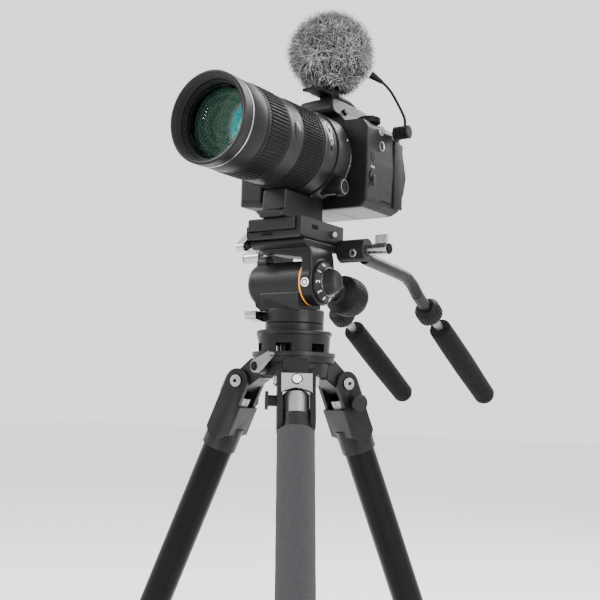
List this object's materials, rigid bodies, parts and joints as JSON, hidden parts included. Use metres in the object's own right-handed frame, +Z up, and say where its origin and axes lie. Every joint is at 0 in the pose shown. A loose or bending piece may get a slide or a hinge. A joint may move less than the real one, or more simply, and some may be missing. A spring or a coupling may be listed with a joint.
{
  "type": "camera on fluid-head tripod",
  "caption": "Camera with a long zoom lens and a furry shoe microphone, on a fluid head with two pan handles and a stand with folding, extending legs.",
  "frame": {"origin": "middle of the outline's box, at the level of the floor that the feet stand on", "axes": "+Z up, the lens looks along -Y, +X towards the camera's port side"},
  "size_m": [0.4948, 0.6138, 0.9705],
  "materials": {
    "black_metal": "fine satin black coat on cast metal",
    "grey_metal": "bead-blasted dark grey metal",
    "silver_metal": "bright turned metal",
    "leg_tube": "smooth dark tube under clear lacquer",
    "leg_foam": "matt grey closed-cell foam, finely pitted",
    "handle_foam": "matt black foam, finely pitted",
    "black_rubber": "matt black moulded rubber",
    "lens_black": "satin black with a light crinkle",
    "lens_glass": "coated glass with a teal reflection",
    "body_black": "finely grained black shell",
    "door_grey": "smooth grey moulding",
    "fur": "long mottled grey fur"
  },
  "bodies": {
    "stand": {"crown": "black_metal", "levelling_cup": "black_metal", "front_leg_pivot_bolt": "silver_metal", "port_leg_pivot_bolt": "silver_metal", "side_leg_pivot_bolt": "silver_metal"},
    "cup_lever": {"cup_clamp_lever": "grey_metal"},
    "front_leg": {"front_leg_shoulder": "black_metal", "front_leg_upper_tube": "leg_tube", "front_leg_foam_sleeve": "leg_foam"},
    "front_latch": {"front_leg_angle_latch": "silver_metal"},
    "front_lock": {"front_leg_twist_lock": "black_rubber"},
    "front_lower_leg": {"front_leg_lower_tube": "leg_tube", "front_leg_foot": "black_rubber"},
    "port_leg": {"port_leg_shoulder": "black_metal", "port_leg_upper_tube": "leg_tube"},
    "port_latch": {"port_leg_angle_latch": "silver_metal"},
    "port_lock": {"port_leg_twist_lock": "black_rubber"},
    "port_lower_leg": {"port_leg_lower_tube": "leg_tube", "port_leg_foot": "black_rubber"},
    "side_leg": {"side_leg_shoulder": "black_metal", "side_leg_upper_tube": "leg_tube"},
    "side_latch": {"side_leg_angle_latch": "silver_metal"},
    "side_lock": {"side_leg_twist_lock": "black_rubber"},
    "side_lower_leg": {"side_leg_lower_tube": "leg_tube", "side_leg_foot": "black_rubber"},
    "head": {"head_housing": "black_metal"},
    "balance_cap": {"counterbalance_cap": "black_metal"},
    "pan_lever": {"pan_lock_lever": "silver_metal"},
    "knob": {"rear_knob": "black_rubber"},
    "cradle": {"tilt_cradle": "black_metal", "plate_clamp": "black_metal"},
    "dial": {"drag_dial": "black_metal"},
    "release": {"plate_release_button": "silver_metal"},
    "plate_lever": {"plate_lock_lever": "silver_metal"},
    "plate": {"quick_plate": "black_metal", "tripod_collar": "black_metal"},
    "band_knob": {"collar_knob": "black_metal"},
    "port_handle": {"port_handle_tube": "black_metal"},
    "port_lever": {"port_handle_lever": "silver_metal"},
    "port_collar": {"port_handle_collar": "black_rubber"},
    "port_grip": {"port_handle_rod": "grey_metal", "port_handle_foam": "handle_foam"},
    "grip_handle": {"grip_handle_tube": "black_metal"},
    "grip_lever": {"grip_handle_lever": "silver_metal"},
    "grip_collar": {"grip_handle_collar": "black_rubber"},
    "grip_grip": {"grip_handle_rod": "grey_metal", "grip_handle_foam": "handle_foam"},
    "camera": {"lens_barrel": "lens_black", "front_glass": "lens_glass", "camera_body": "body_black", "mic_mount": "body_black", "mic_windshield": "fur", "mic_gland": "black_rubber", "mic_lead": "black_rubber", "mic_plug": "black_rubber"},
    "focus": {"focus_ring": "black_rubber"},
    "zoom": {"zoom_ring": "black_rubber"},
    "door": {"battery_door": "door_grey"},
    "mode": {"mode_dial": "body_black"},
    "shutter": {"shutter_button": "black_metal"}
  },
  "joints": [
    {"name": "front_leg_spread", "type": "hinge", "parent": "stand", "child": "front_leg", "pos_m": [0.09114, -0.10374, 0.55746], "axis": [-0.7997, -0.6004, 0], "range_deg": [-22, 50]},
    {"name": "front_latch_pull", "type": "slide", "parent": "front_leg", "child": "front_latch", "axis": [0.551, -0.7339, 0.3972], "range_m": [0, 0.004], "stiffness_N_per_m": 200},
    {"name": "front_lock_twist", "type": "hinge", "parent": "front_leg", "child": "front_lock", "pos_m": [0.09114, -0.10374, 0.55746], "axis": [0.2385, -0.3176, -0.9178], "range_deg": [0, 90]},
    {"name": "front_leg_extend", "type": "slide", "parent": "front_leg", "child": "front_lower_leg", "axis": [0.2385, -0.3176, -0.9178], "range_m": [0, 0.32]},
    {"name": "port_leg_spread", "type": "hinge", "parent": "stand", "child": "port_leg", "pos_m": [0.07939, -0.00659, 0.55746], "axis": [0.9198, -0.3923, 0], "range_deg": [-22, 50]},
    {"name": "port_latch_pull", "type": "slide", "parent": "port_leg", "child": "port_latch", "axis": [0.3601, 0.8442, 0.3971], "range_m": [0, 0.004], "stiffness_N_per_m": 200},
    {"name": "port_lock_twist", "type": "hinge", "parent": "port_leg", "child": "port_lock", "pos_m": [0.07939, -0.00659, 0.55746], "axis": [0.1558, 0.3653, -0.9178], "range_deg": [0, 90]},
    {"name": "port_leg_extend", "type": "slide", "parent": "port_leg", "child": "port_lower_leg", "axis": [0.1558, 0.3653, -0.9178], "range_m": [0, 0.32]},
    {"name": "side_leg_spread", "type": "hinge", "parent": "stand", "child": "side_leg", "pos_m": [0.00113, -0.06534, 0.55746], "axis": [-0.1201, 0.9928, 0], "range_deg": [-22, 50]},
    {"name": "side_latch_pull", "type": "slide", "parent": "side_leg", "child": "side_latch", "axis": [-0.9111, -0.1103, 0.3971], "range_m": [0, 0.004], "stiffness_N_per_m": 200},
    {"name": "side_lock_twist", "type": "hinge", "parent": "side_leg", "child": "side_lock", "pos_m": [0.00113, -0.06534, 0.55746], "axis": [-0.3943, -0.0477, -0.9178], "range_deg": [0, 90]},
    {"name": "side_leg_extend", "type": "slide", "parent": "side_leg", "child": "side_lower_leg", "axis": [-0.3943, -0.0477, -0.9178], "range_m": [0, 0.32]},
    {"name": "cup_lever_turn", "type": "hinge", "parent": "stand", "child": "cup_lever", "pos_m": [0.04301, -0.1023, 0.57186], "axis": [-0.309, -0.9511, 0], "range_deg": [0, 90]},
    {"name": "pan", "type": "hinge", "parent": "stand", "child": "head", "pos_m": [0.05722, -0.05856, 0.62447], "axis": [0, 0, 1], "continuous": true},
    {"name": "balance_turn", "type": "hinge", "parent": "head", "child": "balance_cap", "pos_m": [0.01522, -0.06456, 0.65847], "axis": [-1, 0, 0], "range_deg": [0, 180]},
    {"name": "pan_lever_turn", "type": "hinge", "parent": "head", "child": "pan_lever", "pos_m": [0.01918, -0.07092, 0.62447], "axis": [-0.9511, -0.309, 0], "range_deg": [-25, 25]},
    {"name": "rear_knob_turn", "type": "hinge", "parent": "head", "child": "knob", "pos_m": [0.06722, -0.04056, 0.66047], "axis": [0, 0.9962, -0.0872], "range_deg": [0, 180]},
    {"name": "tilt", "type": "hinge", "parent": "head", "child": "cradle", "pos_m": [0.05722, -0.06456, 0.65847], "axis": [1, 0, 0], "range_deg": [-30, 60]},
    {"name": "drag_dial_turn", "type": "hinge", "parent": "cradle", "child": "dial", "pos_m": [0.10322, -0.06456, 0.65847], "axis": [1, 0, 0], "range_deg": [0, 180]},
    {"name": "release_press", "type": "slide", "parent": "cradle", "child": "release", "axis": [-1, 0, 0], "range_m": [0, 0.002], "stiffness_N_per_m": 150},
    {"name": "plate_lever_turn", "type": "hinge", "parent": "cradle", "child": "plate_lever", "pos_m": [0.01722, -0.08656, 0.70447], "axis": [-1, 0, 0], "range_deg": [0, 70]},
    {"name": "plate_slide", "type": "slide", "parent": "cradle", "child": "plate", "axis": [0, 1, 0], "range_m": [-0.015, 0.015]},
    {"name": "band_knob_turn", "type": "hinge", "parent": "plate", "child": "band_knob", "pos_m": [0.09922, -0.04256, 0.76047], "axis": [1, 0, 0], "range_deg": [0, 180]},
    {"name": "port_handle_angle", "type": "hinge", "parent": "cradle", "child": "port_handle", "pos_m": [0.11222, -0.02456, 0.69546], "axis": [-1, 0, 0], "range_deg": [-25, 25]},
    {"name": "port_lever_turn", "type": "hinge", "parent": "port_handle", "child": "port_lever", "pos_m": [0.13522, -0.02456, 0.69546], "axis": [1, 0, 0], "range_deg": [0, 120]},
    {"name": "port_collar_twist", "type": "hinge", "parent": "port_handle", "child": "port_collar", "pos_m": [0.11622, 0.13244, 0.64547], "axis": [0, 0.8712, -0.4909], "range_deg": [0, 90]},
    {"name": "port_grip_extend", "type": "slide", "parent": "port_handle", "child": "port_grip", "axis": [0, 0.8712, -0.4909], "range_m": [-0.02, 0.008]},
    {"name": "grip_handle_angle", "type": "hinge", "parent": "cradle", "child": "grip_handle", "pos_m": [0.00222, -0.02456, 0.69546], "axis": [-1, 0, 0], "range_deg": [-25, 25]},
    {"name": "grip_lever_turn", "type": "hinge", "parent": "grip_handle", "child": "grip_lever", "pos_m": [-0.02078, -0.02456, 0.69546], "axis": [-1, 0, 0], "range_deg": [0, 120]},
    {"name": "grip_collar_twist", "type": "hinge", "parent": "grip_handle", "child": "grip_collar", "pos_m": [-0.00178, 0.13244, 0.64547], "axis": [0, 0.8712, -0.4909], "range_deg": [0, 90]},
    {"name": "grip_grip_extend", "type": "slide", "parent": "grip_handle", "child": "grip_grip", "axis": [0, 0.8712, -0.4909], "range_m": [-0.02, 0.008]},
    {"name": "lens_roll", "type": "hinge", "parent": "plate", "child": "camera", "pos_m": [0.05722, -0.04256, 0.79746], "axis": [0, 1, 0], "range_deg": [0, 90]},
    {"name": "focus_turn", "type": "hinge", "parent": "camera", "child": "focus", "pos_m": [0.05722, -0.15731, 0.79746], "axis": [0, 1, 0], "range_deg": [-60, 60]},
    {"name": "zoom_turn", "type": "hinge", "parent": "camera", "child": "zoom", "pos_m": [0.05722, -0.09781, 0.79746], "axis": [0, 1, 0], "range_deg": [0, 80]},
    {"name": "battery_door_open", "type": "hinge", "parent": "camera", "child": "door", "pos_m": [0.07122, 0.02544, 0.74347], "axis": [0, 1, 0], "range_deg": [0, 90]},
    {"name": "mode_dial_turn", "type": "hinge", "parent": "camera", "child": "mode", "pos_m": [0.10322, 0.00745, 0.84247], "axis": [0, 0, 1], "range_deg": [0, 300]},
    {"name": "shutter_press", "type": "slide", "parent": "camera", "child": "shutter", "axis": [0, 0, -1], "range_m": [0, 0.0015], "stiffness_N_per_m": 150}
  ]
}
